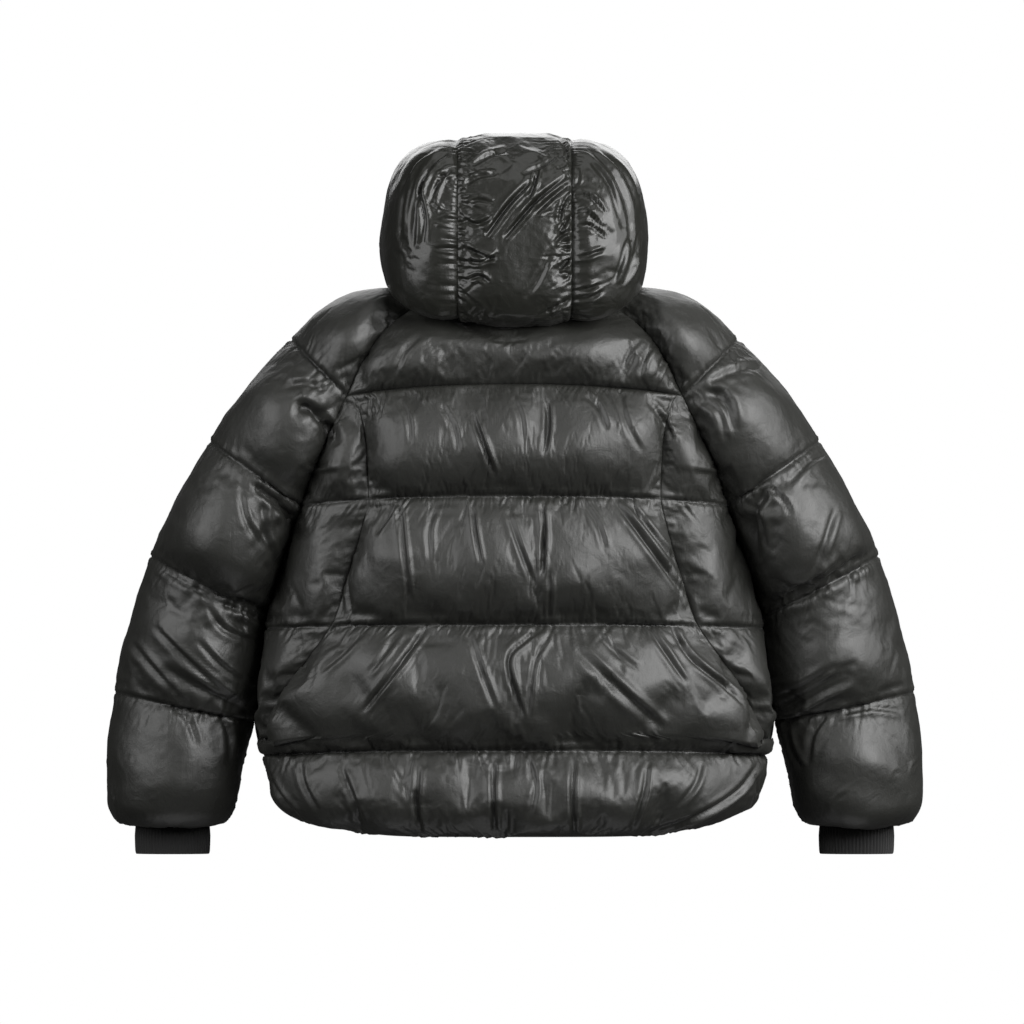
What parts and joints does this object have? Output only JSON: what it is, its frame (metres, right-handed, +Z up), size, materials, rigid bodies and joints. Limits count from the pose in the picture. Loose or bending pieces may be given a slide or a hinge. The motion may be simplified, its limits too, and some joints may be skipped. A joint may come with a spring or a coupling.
{
  "type": "hooded puffer jacket",
  "caption": "Cropped hooded puffer jacket with raglan sleeves and rib cuffs, filled out as if worn.",
  "frame": {"origin": "middle of the neck opening at the level of the neck seam, where the wearer's shoulders and neck hold the jacket", "axes": "+Z up, +Y the way the wearer faces, +X towards the wearer's right hand"},
  "size_m": [1.0268, 0.3405, 0.9014],
  "materials": {
    "shell": "glossy",
    "rib": "matte",
    "zip": "satin"
  },
  "bodies": {
    "root": {"yoke": "shell", "centre_back": "shell", "side_back_right": "shell", "side_back_left": "shell", "front_right": "shell", "front_left": "shell", "sleeve_right": "shell", "sleeve_left": "shell", "hood_centre": "shell", "hood_side_right": "shell", "hood_side_left": "shell", "cuff_right": "rib", "cuff_left": "rib", "front_zip": "zip"}
  },
  "joints": []
}
